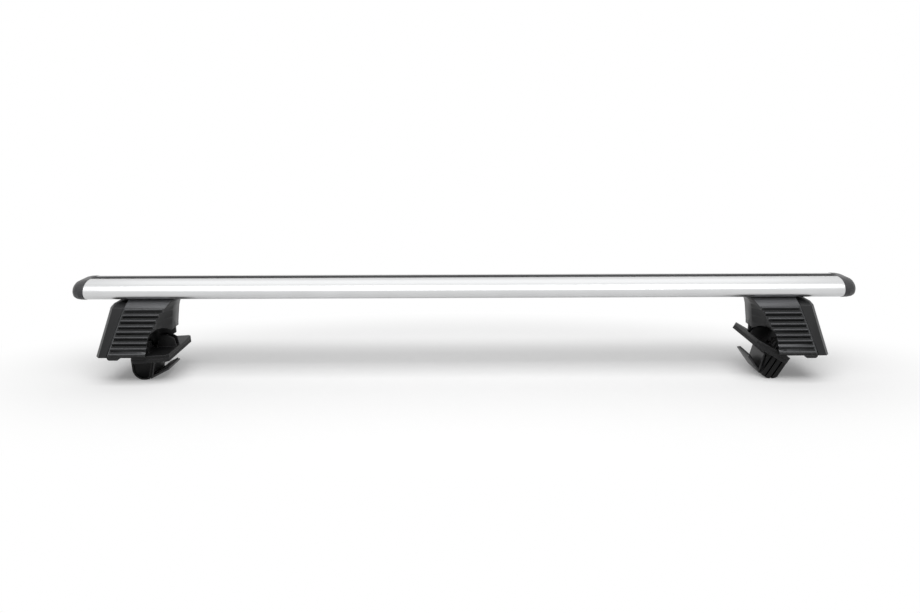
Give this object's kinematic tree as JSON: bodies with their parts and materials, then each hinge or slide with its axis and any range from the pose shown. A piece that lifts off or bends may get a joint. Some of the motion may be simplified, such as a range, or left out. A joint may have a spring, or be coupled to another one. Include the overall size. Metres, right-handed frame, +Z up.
{
  "type": "roof rack crossbar",
  "caption": "Aero-section aluminium roof rack crossbar with a rubber top strip, sliding louvred feet, hinged lockable covers and tilting rail-clamp jaws.",
  "frame": {"origin": "on the floor under the middle of the bar", "axes": "+X along the bar towards the right foot, +Y away from the camera of the picture, +Z up"},
  "size_m": [1.176, 0.1288, 0.156],
  "materials": {
    "bar_aluminium": "satin anodised",
    "strip_rubber": "matt black",
    "cap_plastic": "fine grain",
    "foot_plastic": "fine grain",
    "cover_plastic": "satin",
    "carrier_plastic": "fine grain",
    "jaw_plastic": "fine grain",
    "pad_rubber": "matt",
    "hook_steel": "black powder coat",
    "zinc_steel": "zinc plated",
    "lock_metal": "satin chrome"
  },
  "bodies": {
    "bar": {"crossbar_profile": "bar_aluminium", "top_strip": "strip_rubber", "end_cap_left": "cap_plastic", "end_cap_right": "cap_plastic"},
    "left_foot": {"left_foot_body": "foot_plastic", "left_saddle_pad": "pad_rubber", "left_slot_plate": "zinc_steel", "left_bar_screws": "zinc_steel", "left_bar_washers": "zinc_steel", "left_pivot_pins": "zinc_steel", "left_cover_pins": "zinc_steel"},
    "left_cover": {"left_foot_cover": "cover_plastic"},
    "left_lock": {"left_lock_barrel": "lock_metal", "left_lock_cam": "zinc_steel"},
    "left_base": {"left_pad_carrier": "carrier_plastic", "left_rubber_pad": "pad_rubber", "left_clamp_washer": "zinc_steel"},
    "left_bolt": {"left_clamp_bolt": "zinc_steel"},
    "left_jaw": {"left_jaw": "jaw_plastic", "left_hook_plate": "hook_steel", "left_lip_liner": "pad_rubber", "left_clamp_nut": "zinc_steel"},
    "right_foot": {"right_foot_body": "foot_plastic", "right_saddle_pad": "pad_rubber", "right_slot_plate": "zinc_steel", "right_bar_screws": "zinc_steel", "right_bar_washers": "zinc_steel", "right_pivot_pins": "zinc_steel", "right_cover_pins": "zinc_steel"},
    "right_cover": {"right_foot_cover": "cover_plastic"},
    "right_lock": {"right_lock_barrel": "lock_metal", "right_lock_cam": "zinc_steel"},
    "right_base": {"right_pad_carrier": "carrier_plastic", "right_rubber_pad": "pad_rubber", "right_clamp_washer": "zinc_steel"},
    "right_bolt": {"right_clamp_bolt": "zinc_steel"},
    "right_jaw": {"right_jaw": "jaw_plastic", "right_hook_plate": "hook_steel", "right_lip_liner": "pad_rubber", "right_clamp_nut": "zinc_steel"}
  },
  "joints": [
    {"name": "left_foot_slide", "type": "slide", "parent": "bar", "child": "left_foot", "axis": [1, 0, 0], "range_m": [-0.03, 0.15]},
    {"name": "left_cover_hinge", "type": "hinge", "parent": "left_foot", "child": "left_cover", "pos_m": [-0.528, 0, 0.0455], "axis": [0, -1, 0], "range_deg": [0, 85]},
    {"name": "left_lock_turn", "type": "hinge", "parent": "left_cover", "child": "left_lock", "pos_m": [-0.53768, 0, 0.093], "axis": [0.9655, 0, -0.2606], "range_deg": [0, 90]},
    {"name": "left_base_tilt", "type": "hinge", "parent": "left_foot", "child": "left_base", "pos_m": [-0.484, 0, 0.05208], "axis": [0, -1, 0], "range_deg": [0, 26.4]},
    {"name": "left_bolt_turn", "type": "hinge", "parent": "left_base", "child": "left_bolt", "pos_m": [-0.49298, 0, 0.05154], "axis": [-0.0593, 0, 0.9982], "range_deg": [0, 2592]},
    {"name": "left_jaw_slide", "type": "slide", "parent": "left_base", "child": "left_jaw", "axis": [0.0593, 0, -0.9982], "range_m": [0, 0.009]},
    {"name": "right_foot_slide", "type": "slide", "parent": "bar", "child": "right_foot", "axis": [-1, 0, 0], "range_m": [-0.03, 0.15]},
    {"name": "right_cover_hinge", "type": "hinge", "parent": "right_foot", "child": "right_cover", "pos_m": [0.522, 0, 0.0455], "axis": [0, 1, 0], "range_deg": [0, 85]},
    {"name": "right_lock_turn", "type": "hinge", "parent": "right_cover", "child": "right_lock", "pos_m": [0.53168, 0, 0.093], "axis": [0.9655, 0, 0.2606], "range_deg": [0, 90]},
    {"name": "right_base_tilt", "type": "hinge", "parent": "right_foot", "child": "right_base", "pos_m": [0.478, 0, 0.05208], "axis": [0, 1, 0], "range_deg": [-26.4, 0]},
    {"name": "right_bolt_turn", "type": "hinge", "parent": "right_base", "child": "right_bolt", "pos_m": [0.48581, 0, 0.0476], "axis": [0.497, 0, 0.8678], "range_deg": [0, 2592]},
    {"name": "right_jaw_slide", "type": "slide", "parent": "right_base", "child": "right_jaw", "axis": [-0.497, 0, -0.8678], "range_m": [0, 0.009]}
  ],
  "couplings": [
    {"joint": "left_bolt_turn", "follows": "left_jaw_slide", "rad_per_m": 5026.5},
    {"joint": "right_bolt_turn", "follows": "right_jaw_slide", "rad_per_m": 5026.5}
  ]
}
